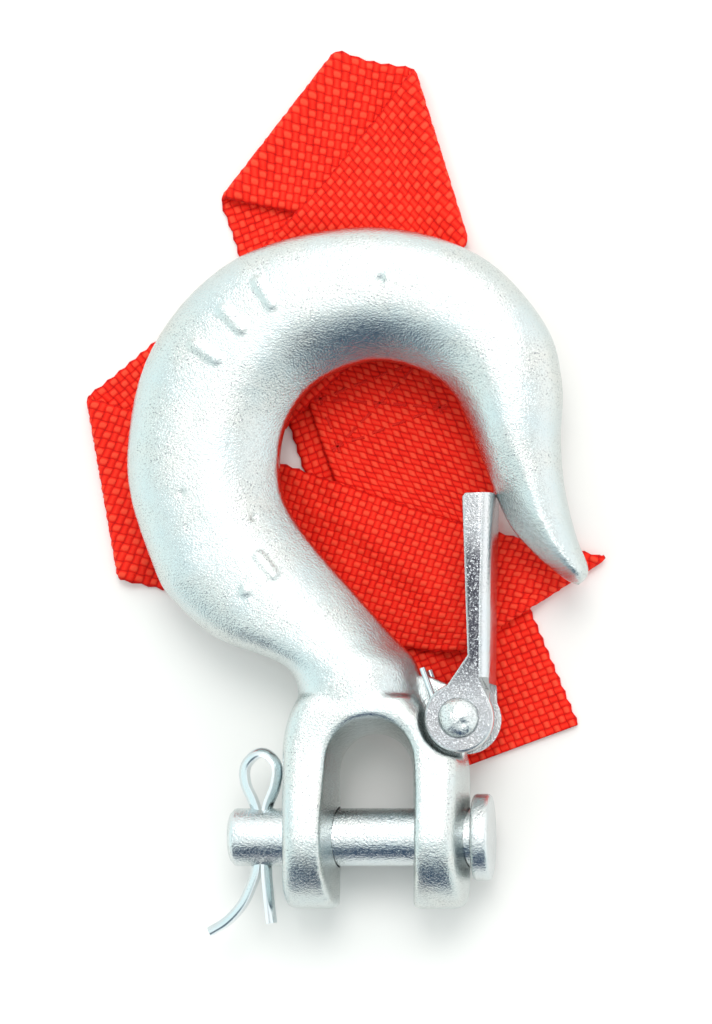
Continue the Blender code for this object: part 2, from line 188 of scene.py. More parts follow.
def applyAll(obj):  # swaps the mesh for the evaluated one and clears the modifiers and their cutters
    helpers = [m.object for m in obj.modifiers if m.type == "BOOLEAN"]
    made = evaluatedMesh(obj)
    obj.modifiers.clear()
    obj.data = made
    for helper in helpers:
        bpy.data.objects.remove(helper, do_unlink=True)


def dress(mesh, material, sharp):  # one material, and smooth shading up to an angle
    mesh.materials.clear()
    mesh.materials.append(material)
    mesh.shade_smooth()
    mesh.set_sharp_from_angle(angle=math.radians(sharp))


def readPoints(mesh):
    flat = np.empty(len(mesh.vertices) * 3)
    mesh.vertices.foreach_get("co", flat)
    return flat.reshape(-1, 3)


def writePoints(mesh, co):
    mesh.vertices.foreach_set("co", co.ravel())
    mesh.update()


def relax(mesh, rounds, weights, pulls):  # moves each point towards its neighbours' middle, by its weight
    co = readPoints(mesh)
    ends = np.empty(len(mesh.edges) * 2, int)
    mesh.edges.foreach_get("vertices", ends)
    a, b = ends.reshape(-1, 2).T
    count = len(co)
    degree = np.bincount(a, minlength=count) + np.bincount(b, minlength=count)
    for step in range(rounds):
        for pull in pulls:
            middle = np.empty_like(co)
            for axis in range(3):
                total = np.bincount(a, co[b, axis], count) + np.bincount(b, co[a, axis], count)
                middle[:, axis] = total / degree
            co += (middle - co) * (weights * pull)[:, None]
    writePoints(mesh, co)


def startTree(name, inputs):  # a Geometry Nodes tree with named inputs, and their identifiers
    tree = bpy.data.node_groups.new(name, "GeometryNodeTree")
    add = tree.interface.new_socket
    add("Geometry", in_out="INPUT", socket_type="NodeSocketGeometry")
    made = [add(label, in_out="INPUT", socket_type="NodeSocketFloat") for label in inputs]
    made.append(add("Finish", in_out="INPUT", socket_type="NodeSocketMaterial"))
    add("Geometry", in_out="OUTPUT", socket_type="NodeSocketGeometry")
    return tree, addNode(tree, "NodeGroupInput"), [socket.identifier for socket in made]


def endTree(tree, given, geometry):  # real geometry, because an export drops instances, with its material
    real = addNode(tree, "GeometryNodeRealizeInstances", {0: geometry})
    coated = addNode(
        tree, "GeometryNodeSetMaterial", {"Geometry": real.outputs[0], "Material": given.outputs["Finish"]})
    addNode(tree, "NodeGroupOutput", {0: coated.outputs[0]})


def runTree(name, lines, tree, identifiers, values):  # runs a tree on lines of points, for its mesh
    curve = bpy.data.curves.new(name + "Path", "CURVE")
    curve.dimensions = "3D"
    for line in lines:
        spline = curve.splines.new("POLY")
        spline.points.add(len(line) - 1)
        for point, place in zip(spline.points, toFrame(line)):
            point.co = (*place, 1.0)
    route = linkNew(name + "Path", curve)
    mod = route.modifiers.new("tree", "NODES")
    mod.node_group = tree
    for identifier, value in zip(identifiers, values):
        mod[identifier] = value
    mesh = evaluatedMesh(route)
    route.modifiers.remove(mod)
    bpy.data.objects.remove(route, do_unlink=True)
    mesh.name = name
    mesh.shade_smooth()
    return mesh


forgedLook = {          # bright zinc over an as-forged skin: pebbled, so it sparkles between light and dark
    "cool": "#C6D6DA", "warm": "#DCDAD3", "patch": 7.0, "rough": (0.14, 0.22), "flat": None, "pits": 0.75,
    "grain": 0.30, "grainDepth": 0.12, "wave": 1.6, "waveDepth": 0.05,
}
pressedLook = {         # zinc over rolled sheet: finer sparkle, with a speckled painted dark reflection on the rolled faces
    "cool": "#CDD7DC", "warm": "#DEDCDA", "patch": 5.0, "rough": (0.16, 0.26), "flat": "#3C3C44", "pits": 0.4,
    "grain": 0.28, "grainDepth": 0.07, "wave": 1.4, "waveDepth": 0.03,
    "blotch": 0.30, "faceAt": 6.0, "armAt": 37.0, "reflectFrom": 7.0, "reflectTo": 15.0, "reflectShare": 0.5,
}
turnedLook = {          # zinc over turned bar: smooth bands with a light grain
    "cool": "#CEDADF", "warm": "#E0E0DC", "patch": 6.0, "rough": (0.14, 0.22), "flat": None, "pits": 0.7,
    "grain": 0.38, "grainDepth": 0.13, "wave": 1.8, "waveDepth": 0.05,
}
wireLook = {            # zinc over drawn wire: nearly a mirror
    "cool": "#C9D8DE", "warm": "#DADEDE", "patch": 4.0, "rough": (0.12, 0.20), "flat": None, "pits": 0.2,
    "grain": 0.60, "grainDepth": 0.006, "wave": 3.0, "waveDepth": 0.010,
}
pitLook = {"size": 0.26, "tone": "#59646E", "least": 0.25}      # dark grains in the zinc, in loose clusters


def paintedReflectionShare(tree, place, look):  # where the painted dark reflection shows, on faces that look straight up or down: most on the arm's middle, not on bends
    facing = addNode(tree, "ShaderNodeNewGeometry").outputs["True Normal"]
    upright = addNode(tree, "ShaderNodeSeparateXYZ", {0: facing})
    turned = addNode(tree, "ShaderNodeMath", {0: upright.outputs["Z"]}, operation="ABSOLUTE")
    level = addNode(
        tree, "ShaderNodeMapRange", {"Value": turned.outputs[0], "From Min": 0.93, "From Max": 0.995},
        interpolation_type="SMOOTHSTEP")
    blotch = addNode(
        tree, "ShaderNodeTexNoise",
        {"Vector": place, "Scale": scaleFor(look["blotch"]), "Detail": 3.0, "Roughness": 0.7})
    speckle = addNode(
        tree, "ShaderNodeMapRange", {"Value": blotch.outputs["Fac"], "From Min": 0.76, "From Max": 0.46},
        interpolation_type="SMOOTHSTEP")
    reach = addNode(tree, "ShaderNodeSeparateXYZ", {0: place})
    armMiddle = pinAt.y + look["armAt"] * mm
    along = addNode(tree, "ShaderNodeMath", {0: reach.outputs["Y"], 1: armMiddle}, operation="SUBTRACT")
    fromMiddle = addNode(tree, "ShaderNodeMath", {0: along.outputs[0]}, operation="ABSOLUTE")
    nearArmMiddle = addNode(
        tree, "ShaderNodeMapRange",
        {"Value": fromMiddle.outputs[0], "From Min": look["reflectFrom"] * mm, "From Max": look["reflectTo"] * mm,
         "To Min": 1.0, "To Max": look["reflectShare"]}, interpolation_type="SMOOTHSTEP")
    height = addNode(tree, "ShaderNodeMath", {0: reach.outputs["Z"], 1: pinAt.z}, operation="SUBTRACT")
    depth = addNode(tree, "ShaderNodeMath", {0: height.outputs[0]}, operation="ABSOLUTE")
    outside = addNode(
        tree, "ShaderNodeMath", {0: depth.outputs[0], 1: look["faceAt"] * mm}, operation="GREATER_THAN")
    share = level
    for part in (outside, nearArmMiddle, speckle):
        share = addNode(
            tree, "ShaderNodeMath", {0: share.outputs[0], 1: part.outputs[0]}, operation="MULTIPLY")
    return share.outputs[0]


def zincPlate(name, look):
    mat, tree, shader = newMaterial(name)
    shader.inputs["Metallic"].default_value = 1.0
    place = addNode(tree, "ShaderNodeTexCoord").outputs["Object"]
    patch = addNode(
        tree, "ShaderNodeTexNoise", {"Vector": place, "Scale": scaleFor(look["patch"]), "Detail": 3.0})
    tint = addNode(
        tree, "ShaderNodeMix",
        {0: patch.outputs["Fac"], 6: hexColour(look["cool"]), 7: hexColour(look["warm"])}, data_type="RGBA")
    grain = addNode(
        tree, "ShaderNodeTexNoise",
        {"Vector": place, "Scale": scaleFor(look["grain"]), "Detail": 2.5, "Roughness": 0.6})
    pit = addNode(
        tree, "ShaderNodeTexNoise",
        {"Vector": place, "Scale": scaleFor(pitLook["size"]), "Detail": 2.0, "Roughness": 0.6})
    pitted = addNode(
        tree, "ShaderNodeMapRange", {"Value": pit.outputs["Fac"], "From Min": 0.56, "From Max": 0.70},
        interpolation_type="SMOOTHSTEP")
    cluster = addNode(
        tree, "ShaderNodeMapRange",
        {"Value": patch.outputs["Fac"], "From Min": 0.42, "From Max": 0.62,
         "To Min": pitLook["least"] * look["pits"], "To Max": look["pits"]})
    share = addNode(
        tree, "ShaderNodeMath", {0: pitted.outputs[0], 1: cluster.outputs[0]}, operation="MULTIPLY")
    finish = addNode(
        tree, "ShaderNodeMix", {0: share.outputs[0], 6: tint.outputs[2], 7: hexColour(pitLook["tone"])},
        data_type="RGBA").outputs[2]
    if look["flat"]:        # painted dark reflection on the flat faces; the bends and cut edges stay bright
        finish = addNode(
            tree, "ShaderNodeMix", {0: paintedReflectionShare(tree, place, look), 6: finish, 7: hexColour(look["flat"])},
            data_type="RGBA").outputs[2]
    tree.links.new(finish, shader.inputs["Base Color"])
    rough = addNode(
        tree, "ShaderNodeMapRange",
        {"Value": patch.outputs["Fac"], "From Min": 0.35, "From Max": 0.65,
         "To Min": look["rough"][0], "To Max": look["rough"][1]})
    tree.links.new(rough.outputs["Result"], shader.inputs["Roughness"])
    wave = addNode(
        tree, "ShaderNodeTexNoise", {"Vector": place, "Scale": scaleFor(look["wave"]), "Detail": 1.0})
    broad = addNode(
        tree, "ShaderNodeBump",
        {"Strength": 1.0, "Distance": look["waveDepth"] * mm, "Height": wave.outputs["Fac"]})
    fine = addNode(
        tree, "ShaderNodeBump",
        {"Strength": 1.0, "Distance": look["grainDepth"] * mm, "Height": grain.outputs["Fac"],
         "Normal": broad.outputs["Normal"]})
    tree.links.new(fine.outputs["Normal"], shader.inputs["Normal"])
    return mat


zincForging = zincPlate("zincPlatedForging", forgedLook)
zincSheet = zincPlate("zincPlatedSheet", pressedLook)
zincTurned = zincPlate("zincPlatedTurning", turnedLook)
zincWire = zincPlate("zincPlatedWire", wireLook)

webLook = {             # polypropylene webbing in a plain weave: painted highlight on the floats, painted shade in the gaps
    "float": "#FF4A30", "body": "#F81C08", "gapShade": "#B80402", "bodyAt": 0.52, "gapShadeAt": 0.22,
    "along": 1.2, "across": 26.0 / 19, "depth": 0.22, "weftHeight": 0.45, "warpRound": 0.35,
    "fibre": 0.12, "fibreShare": 0.16, "fade": 3.5, "fadeShare": 0.30, "rough": 0.75, "specular": 0.2,
}


def wovenWebbing(name, look):
    mat, tree, shader = newMaterial(name)
    shader.inputs["Roughness"].default_value = look["rough"]
    shader.inputs["Specular IOR Level"].default_value = look["specular"]
    uv = addNode(tree, "ShaderNodeUVMap", uv_map="strip")
    split = addNode(tree, "ShaderNodeSeparateXYZ", {0: uv.outputs["UV"]})
    waves = []
    for axis, pitch in (("X", look["along"]), ("Y", look["across"])):
        angle = addNode(
            tree, "ShaderNodeMath", {0: split.outputs[axis], 1: math.pi / (pitch * mm)}, operation="MULTIPLY")
        wave = addNode(tree, "ShaderNodeMath", {0: angle.outputs[0]}, operation="SINE")
        hump = addNode(tree, "ShaderNodeMath", {0: wave.outputs[0]}, operation="ABSOLUTE")
        waves.append((wave.outputs[0], hump.outputs[0]))
    parity = addNode(tree, "ShaderNodeMath", {0: waves[0][0], 1: waves[1][0]}, operation="MULTIPLY")
    over = addNode(         # which of the two yarns lies on top
        tree, "ShaderNodeMapRange", {"Value": parity.outputs[0], "From Min": -0.35, "From Max": 0.25},
        interpolation_type="SMOOTHSTEP")
    dive = addNode(tree, "ShaderNodeMath", {0: waves[0][1], 1: look["warpRound"]}, operation="POWER")
    warp = addNode(tree, "ShaderNodeMath", {0: waves[1][1], 1: dive.outputs[0]}, operation="MULTIPLY")
    weft = addNode(tree, "ShaderNodeMath", {0: waves[0][1], 1: look["weftHeight"]}, operation="MULTIPLY")
    height = addNode(
        tree, "ShaderNodeMix", {0: over.outputs["Result"], 2: weft.outputs[0], 3: warp.outputs[0]},
        data_type="FLOAT")
    place = addNode(tree, "ShaderNodeTexCoord").outputs["Object"]
    fibre = addNode(
        tree, "ShaderNodeTexNoise", {"Vector": place, "Scale": scaleFor(look["fibre"]), "Detail": 2.0})
    fade = addNode(
        tree, "ShaderNodeTexNoise", {"Vector": place, "Scale": scaleFor(look["fade"]), "Detail": 3.0})
    lift = addNode(
        tree, "ShaderNodeMath", {0: fibre.outputs["Fac"], 1: look["fibreShare"], 2: height.outputs[0]},
        operation="MULTIPLY_ADD")
    uneven = addNode(
        tree, "ShaderNodeMath", {0: fade.outputs["Fac"], 1: look["fadeShare"], 2: lift.outputs[0]},
        operation="MULTIPLY_ADD")
    # painted shade in the gaps and painted highlight on the floats, from the weave's height, with a random
    # fade
    colour = addNode(tree, "ShaderNodeValToRGB", {0: uneven.outputs[0]})
    ramp = colour.color_ramp
    ramp.elements[0].position, ramp.elements[0].color = look["gapShadeAt"], hexColour(look["gapShade"])
    ramp.elements[1].position, ramp.elements[1].color = 1.0, hexColour(look["float"])
    middle = ramp.elements.new(look["bodyAt"])
    middle.color = hexColour(look["body"])
    tree.links.new(colour.outputs[0], shader.inputs["Base Color"])
    bump = addNode(
        tree, "ShaderNodeBump", {"Strength": 1.0, "Distance": look["depth"] * mm, "Height": lift.outputs[0]})
    tree.links.new(bump.outputs["Normal"], shader.inputs["Normal"])
    return mat


redWebbing = wovenWebbing("wovenPolypropylene", webLook)

threadLook = {          # bonded nylon thread, twisted: a faint slanting shine, close to the webbing's red
    "dark": "#CE1008", "light": "#F02C1A", "rough": 0.7, "specular": 0.25,
    "ply": 0.9, "slant": 0.7, "depth": 0.05,
}


def sewingThread(name, look):
    mat, tree, shader = newMaterial(name)
    shader.inputs["Roughness"].default_value = look["rough"]
    shader.inputs["Specular IOR Level"].default_value = look["specular"]
    place = addNode(tree, "ShaderNodeTexCoord").outputs["Object"]
    slant = addNode(tree, "ShaderNodeMapping", {"Vector": place, "Rotation": (0.0, 0.0, look["slant"])})
    ply = addNode(
        tree, "ShaderNodeTexWave",
        {"Vector": slant.outputs[0], "Scale": scaleFor(look["ply"]), "Distortion": 1.0})
    colour = addNode(
        tree, "ShaderNodeMix",
        {0: ply.outputs["Fac"], 6: hexColour(look["dark"]), 7: hexColour(look["light"])}, data_type="RGBA")
    tree.links.new(colour.outputs[2], shader.inputs["Base Color"])
    bump = addNode(
        tree, "ShaderNodeBump",
        {"Strength": 0.6, "Distance": look["depth"] * mm, "Height": ply.outputs["Fac"]})
    tree.links.new(bump.outputs["Normal"], shader.inputs["Normal"])
    return mat


redThread = sewingThread("bondedNylonThread", threadLook)
print("materials made")

hookSize = {
    "sides": 72, "perSpan": 7, "voxel": 0.45, "sharp": 50, "bowlCentre": (0.0, 61.5),
    "roll": (0.70, 0.62), "rise": (0.74, 0.21), "fall": (2.33, -1.03),     # powers, and the tip's change
    "drop": 0.82, "trim": 0.087, "lean": 0.40, "ridgeBelow": 7.5, "ridgeOver": 1.9,
    "earRadius": 11.9, "earOut": 15.6, "gapHalf": 6.06, "draft": 0.149, "gapReach": 13.5, "mouth": -14.0,
    "archTop": 16.9, "archRise": 3.4, "archDepth": 9.5,
    "lugRadius": 5.0, "lugHalf": 2.2, "recess": 6.5, "recessReach": 15.0,
    "pinHole": 5.0, "pinReach": 20.0, "rivetHole": 2.5, "rivetReach": 4.0,
    "lugFoot": [(9.0, 26.5), (3.0, 26.0), (3.0, 13.6), (10.0, 13.2)],
}
shankStations = [       # inner edge x, y, outer edge x, y, half thickness
    (6.8, 13.5, -13.4, 13.5, 7.9), (7.5, 19.0, -13.0, 19.0, 8.5), (7.6, 24.2, -12.8, 24.0, 8.6),
    (6.4, 29.0, -14.5, 27.7, 8.3), (2.6, 33.2, -19.4, 30.1, 7.7), (-3.5, 40.2, -26.4, 32.7, 7.55),
    (-9.8, 47.3, -33.1, 38.3, 7.55),
]
bowlStations = [        # angle about the bowl's centre, inner radius, outer radius, half thickness
    (204, 16.5, 40.9, 7.55), (180, 16.4, 42.0, 7.55), (152, 16.8, 42.8, 7.55), (124, 17.2, 42.2, 7.55),
    (92, 17.4, 39.9, 7.55), (64, 17.4, 38.8, 7.4), (40, 17.3, 36.5, 7.1),
]
tipStations = [
    (17.4, 62.9, 31.0, 74.6, 6.6), (19.6, 57.0, 30.7, 65.5, 6.0), (22.3, 51.2, 31.4, 57.0, 5.4),
    (26.4, 46.3, 33.1, 49.6, 4.8), (31.0, 42.4, 35.0, 44.7, 3.8), (33.5, 41.2, 35.0, 42.7, 1.8),
]
earNose = ((12, 1.6), (24, 0.7), (42, 0.1), (60, 0.0), (75, 0.0), (90, 0.0))    # angle round the ear, inset
forkRows = [            # y, left and right faces, half thickness, edge rounding
    (3.8, -15.6, 15.6, 11.3, 2.0), (8.2, -15.6, 15.6, 10.2, 2.2), (12.4, -15.6, 15.4, 9.1, 2.4),
    (15.5, -15.5, 14.0, 8.8, 2.6), (18.6, -14.9, 11.2, 8.8, 2.8), (21.0, -14.0, 8.6, 8.7, 3.0),
    (23.0, -12.9, 7.4, 8.2, 3.2),
]
forgedMarks = {
    "broad": (0.10, 9.0), "fine": (0.035, 2.6),             # the die's waviness: height and spacing
    "bars": (122, 134, 146), "barsAt": 33.3, "barHalf": 2.3,    # raised bars, round the bowl's centre
    "loose": [(-17.4, 44.6, 128, 1.9), (-20.6, 40.4, 128, 0.0)],        # x, y, angle, half length
    "width": 1.15, "slope": 0.6, "height": 0.36,
    "pits": [(1.7, 91.4, 0.75), (-19.6, 52.6, 0.6), (-31.5, 56.5, 0.5)], "pitDepth": 0.45,
    "faceAbove": 4.0,
}


def hookStations(size):
    cx, cy = size["bowlCentre"]
    bowl = []
    for angle, inner, outer, half in bowlStations:
        x, y = math.cos(math.radians(angle)), math.sin(math.radians(angle))
        bowl.append((cx + inner * x, cy + inner * y, cx + outer * x, cy + outer * y, half))
    return shankStations + bowl + tipStations


def hookSection(station, size):
    # a slow fall into the throat ending in a trimmed edge, a tight roll outside, and a ridge down the tip
    ix, iy, ox, oy, half = station
    ridge = float(smoothStep((size["ridgeBelow"] - half) / size["ridgeOver"]))
    lean = size["lean"] * ridge * (1 - ridge)
    roll, rise, fall = (size[key][0] + size[key][1] * ridge for key in ("roll", "rise", "fall"))
    ring = []
    for k in range(size["sides"]):
        angle = 2 * math.pi * k / size["sides"]
        c, s = math.cos(angle), math.sin(angle)
        if c > 0:
            across, up = c ** roll, abs(s) ** rise
        else:
            across, up = c, (1 - size["drop"] * abs(c) ** fall) * min(1.0, abs(s) / size["trim"])
        t = 0.5 + 0.5 * across - lean * (1 - across * across)
        ring.append((ix + (ox - ix) * t, iy + (oy - iy) * t, half * math.copysign(up, s)))
    return ring


def forkRing(size, y, left, right, half, corner):
    reach = half - corner
    quarter = [(size["draft"] * reach * t, reach * t) for t in (0, 0.5, 1)]
    quarter += arc((size["draft"] * reach + corner, reach), corner, 180, 90, 6)[1:]
    ring = [(right - d, y, z) for d, z in quarter]
    ring += [(left + d, y, z) for d, z in reversed(quarter)]
    ring += [(left + d, y, -z) for d, z in quarter[1:]]
    ring += [(right - d, y, -z) for d, z in reversed(quarter[1:])]
    return ring


def forkBlock(size):
    rows = []
    for angle, inset in earNose:
        half = size["earRadius"] * math.sin(math.radians(angle))
        y = -size["earRadius"] * math.cos(math.radians(angle))
        rows.append((y, inset - size["earOut"], size["earOut"] - inset, half, min(2.0, 0.6 * half)))
    return skin([forkRing(size, *row) for row in smoothPath(rows + forkRows, 4)])


def forkGap(size):  # drafted both ways from the middle plane, as the dies leave it
    rings = []
    for z in np.linspace(-size["gapReach"], size["gapReach"], 19):
        wide = size["gapHalf"] + size["draft"] * abs(z)
        top = size["archTop"] + size["archRise"] * min(1.0, abs(z) / size["archDepth"]) ** 1.5
        arch = arc((0.0, top - wide), wide, 0, 180, 24)
        outline = [(wide, size["mouth"])] + arch + [(-wide, size["mouth"])]
        rings.append([(x, y, z) for x, y in outline])
    return skin(rings)


def latchLug(size):
    outline = arc(pivot, size["lugRadius"], -95, 100, 30) + size["lugFoot"]
    return extrudeZ(outline, -size["lugHalf"], size["lugHalf"])


def addForgedDetail(mesh, centre, marks):  # die waviness, raised bars, a pip and a few small pits
    co = readPoints(mesh)
    normals = np.empty(len(co) * 3)
    mesh.vertices.foreach_get("normal", normals)
    plan = (co - np.array(pinAt)) / mm
    (broad, broadSize), (fine, fineSize) = marks["broad"], marks["fine"]
    lift = np.array([
        broad * noise.noise(Vector(p) / broadSize)
        + fine * noise.noise(Vector(p) / fineSize + Vector((7, 3, 1))) for p in plan])
    front = plan[:, 2] > marks["faceAbove"]
    bars = [(*arc(centre, marks["barsAt"], a, a, 1)[0], a, marks["barHalf"]) for a in marks["bars"]]
    for x, y, angle, half in bars + marks["loose"]:
        dx, dy = plan[:, 0] - x, plan[:, 1] - y
        c, s = math.cos(math.radians(angle)), math.sin(math.radians(angle))
        along = np.maximum(np.abs(dx * c + dy * s) - half, 0.0)
        away = np.hypot(along, dy * c - dx * s)
        lift += np.where(front, marks["height"] * smoothStep((marks["width"] - away) / marks["slope"]), 0.0)
    for x, y, radius in marks["pits"]:
        away = np.hypot(plan[:, 0] - x, plan[:, 1] - y)
        lift -= np.where(front, marks["pitDepth"] * smoothStep((radius - away) / radius + 0.3), 0.0)
    writePoints(mesh, co + normals.reshape(-1, 3) * (lift * mm)[:, None])


def makeHook(size):
    rings = [hookSection(station, size) for station in smoothPath(hookStations(size), size["perSpan"])]
    hook = makeMesh("hookForging", *skin(rings))
    cutOrJoin(hook, makeMesh("forkBlock", *forkBlock(size)), "UNION")
    for low, high in ((size["lugHalf"], size["recessReach"]), (-size["recessReach"], -size["lugHalf"])):
        recess = turnOnPivot(rod(size["recess"], low, high))
        cutOrJoin(hook, makeMesh("recessCut", *recess), "DIFFERENCE")
    cutOrJoin(hook, makeMesh("lugBlock", *latchLug(size)), "UNION")
    cutOrJoin(hook, makeMesh("gapCut", *forkGap(size)), "DIFFERENCE")
    remesh = hook.modifiers.new("oneSkin", "REMESH")
    remesh.mode = "VOXEL"
    remesh.voxel_size = size["voxel"] * mm
    applyAll(hook)
    plan = (readPoints(hook.data) - np.array(pinAt)) / mm
    relax(hook.data, 5, np.ones(len(plan)), (0.5, -0.52))       # takes the voxels' steps out
    awayFromLug = smoothStep((np.hypot(plan[:, 0] - pivot[0], plan[:, 1] - pivot[1]) - 6.0) / 2.0)
    onFork = smoothStep((30.0 - plan[:, 1]) / 8.0)
    relax(hook.data, 9, 0.10 + 0.9 * onFork * awayFromLug, (0.5,))      # fillets where the fork grows out
    addForgedDetail(hook.data, size["bowlCentre"], forgedMarks)
    pinHole = turnX(rod(size["pinHole"], -size["pinReach"], size["pinReach"]), 96)
    rivetHole = turnOnPivot(rod(size["rivetHole"], -size["rivetReach"], size["rivetReach"]))
    for hole in (pinHole, rivetHole):
        cutOrJoin(hook, makeMesh("holeCut", *hole), "DIFFERENCE", "MANIFOLD")
    applyAll(hook)
    dress(hook.data, zincForging, size["sharp"])
    return hook


hook = makeHook(hookSize)
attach(hook, "hook")
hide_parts("hook_body")
print("hook made:", len(hook.data.polygons), "faces")

latchSize = {
    "half": 6.5, "sheet": 1.2, "cheek": 5.7, "hole": 2.5, "holeReach": 8.0, "sharp": 32,
    "bend": 2.2, "insideBend": 1.1, "edge": 0.45,
    "arm": [(15.8, 29.6), (15.5, 38.6), (15.0, 55.6), (15.5, 56.2), (20.0, 56.2), (19.5, 38.6), (19.4, 26.0)],
    "inside": [
        (18.75, 60.0), (18.25, 38.6), (18.2, 25.0), (30.0, 25.0), (30.0, 5.0), (0.0, 5.0), (0.0, 60.0),
    ],
}


def bevelEdges(obj, chosen, width, segments):  # rounds the level edges for which chosen says yes
    work = bmesh.new()
    work.from_mesh(obj.data)
    edges = []
    for edge in work.edges:
        a, b = ((v.co - pinAt) / mm for v in edge.verts)
        if abs(a.z - b.z) < 0.1 and chosen(a, b):
            edges.append(edge)
    bmesh.ops.bevel(work, geom=edges, offset=width * mm, segments=segments, profile=0.5, affect="EDGES")
    work.to_mesh(obj.data)
    work.free()


def atWebCorner(a, b):  # where the web bends into the cheeks
    return min(a.x, b.x) > 19.3 and min(a.y, b.y) > 25.9


def atInnerCorner(a, b):
    return min(a.x, b.x) > 18.0 and max(a.x, b.x) < 19.0


def onRim(a, b):  # the cheeks' cut edges, without the bend
    onFace = min(abs(a.z), abs(b.z)) > latchSize["half"] - 0.01
    return onFace and not (min(a.x, b.x) > 17.0 and min(a.y, b.y) > 24.9)


def makeLatch(size):
    outline = arc(pivot, size["cheek"], 28.7, -250, 64) + size["arm"]
    latch = makeMesh("latchGate", *extrudeZ(outline, -size["half"], size["half"]))
    bevelEdges(latch, atWebCorner, size["bend"], 7)
    bevelEdges(latch, onRim, size["edge"], 3)
    inside = size["half"] - size["sheet"]
    cutter = makeMesh("latchHollow", *extrudeZ(size["inside"], -inside, inside))
    bevelEdges(cutter, atInnerCorner, size["insideBend"], 4)
    cutOrJoin(latch, cutter, "DIFFERENCE")
    hole = turnOnPivot(rod(size["hole"], -size["holeReach"], size["holeReach"]))
    cutOrJoin(latch, makeMesh("latchHole", *hole), "DIFFERENCE")
    applyAll(latch)
    dress(latch.data, zincSheet, size["sharp"])
    work = bmesh.new()
    work.from_mesh(latch.data)
    for edge in work.edges:     # flat cheeks stay flat right up to their rounded edges
        if len({abs(face.normal.z) > 0.999 for face in edge.link_faces}) > 1:
            edge.smooth = False
    work.to_mesh(latch.data)
    work.free()
    return latch


latch = makeLatch(latchSize)
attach(latch, "latch")
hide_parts("latch")

rivetSize = {
    "shank": 2.2, "head": 3.35, "height": 1.9, "under": 6.7, "waver": 0.09, "waverSize": 1.3,
    "dents": [(0.9, -1.0, 0.30, 0.35), (-1.6, 2.0, 0.12, 0.3)],     # x, y from the axis, depth, spread
}


def makeRivet(size):  # a shank with a hammered dome clinched at each end
    half = [(size["under"], size["shank"])]
    for a in range(0, 88, 6):
        turn = math.radians(a)
        half.append((size["under"] + size["height"] * math.sin(turn), size["head"] * math.cos(turn)))
    rivet = makeMesh("latchRivetPin", *turnOnPivot([(-z, r) for z, r in reversed(half)] + half), zincTurned)
    co = readPoints(rivet.data)
    for point in co:
        x, y, z = (point - np.array(pinAt)) / mm
        if abs(z) > size["under"] + 0.1:
            dent = size["waver"] * noise.noise(Vector((x, y, z)) / size["waverSize"])
            for dx, dy, depth, spread in size["dents"]:
                dent -= depth * math.exp(-((x - pivot[0] - dx) ** 2 + (y - pivot[1] - dy) ** 2) / spread)
            point[2] += dent * mm * math.copysign(1, z)
    writePoints(rivet.data, co)
    return rivet


rivet = makeRivet(rivetSize)
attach(rivet, "latch")
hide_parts("latch_rivet")

springSize = {
    "wire": 0.5, "sides": 14, "step": 0.3, "sharp": 50,
    "coil": 3.0, "pitch": 1.05, "inside": 3.15, "coilSteps": 90,
    "leg": (8.2, 27.6), "loopX": 17.45, "loopFrom": 27.0, "loopY": 33.5,
    "bendFrom": (2.3, 0.7, 0.0), "bendTo": (5.2, 1.6, 0.0),     # from the pivot: the bending's reach
}


def springPath(size):  # a leg on the shank, a coil, a loop behind the web, and back again on the other side
    legX, legY = size["leg"]
    away = math.degrees(math.atan2(legY - pivot[1], legX - pivot[0]))
    touch = away + math.degrees(math.acos(size["coil"] / math.hypot(legY - pivot[1], legX - pivot[0])))
    sweep = 720 - touch
    zIn, zOut = size["inside"], size["inside"] + size["pitch"] * sweep / 360
    half = [(legX, legY, zOut)]
    for k, (x, y) in enumerate(arc(pivot, size["coil"], touch, touch + sweep, size["coilSteps"])):
        half.append((x, y, zOut + (zIn - zOut) * k / size["coilSteps"]))
    half.append((size["loopX"], size["loopFrom"], zIn))
    for a in range(0, 88, 8):
        turn = math.radians(a)
        half.append((size["loopX"], size["loopY"] + zIn * math.sin(turn), zIn * math.cos(turn)))
    return half + [(size["loopX"], size["loopY"] + zIn, 0.0)] + [(x, y, -z) for x, y, z in reversed(half)]


def makeSpring(size):  # Geometry Nodes: sweeps the round wire along its path
    tree, given, identifiers = startTree("roundWireSweep", ("Wire radius", "Step"))
    even = addNode(
        tree, "GeometryNodeResampleCurve", {"Curve": given.outputs[0], "Length": given.outputs["Step"]},
        mode="LENGTH")
    steady = addNode(tree, "GeometryNodeSetCurveNormal", {0: even.outputs[0]}, mode="MINIMUM_TWIST")
    outline = addNode(
        tree, "GeometryNodeCurvePrimitiveCircle",
        {"Resolution": size["sides"], "Radius": given.outputs["Wire radius"]})
    swept = addNode(
        tree, "GeometryNodeCurveToMesh",
        {"Curve": steady.outputs[0], "Profile Curve": outline.outputs[0], "Fill Caps": True})
    endTree(tree, given, swept.outputs[0])
    values = (size["wire"] * mm, size["step"] * mm, zincWire)
    mesh = runTree("latchSpringWire", [springPath(size)], tree, identifiers, values)
    work = bmesh.new()
    work.from_mesh(mesh)
    bmesh.ops.remove_doubles(work, verts=work.verts, dist=1e-6)
    bmesh.ops.recalc_face_normals(work, faces=work.faces)
    work.to_mesh(mesh)
    work.free()
    mesh.set_sharp_from_angle(angle=math.radians(size["sharp"]))
    return linkNew("latchSpringWire", mesh)


spring = makeSpring(springSize)
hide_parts("latch_spring")
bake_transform(spring)
print("latch, rivet and spring made")

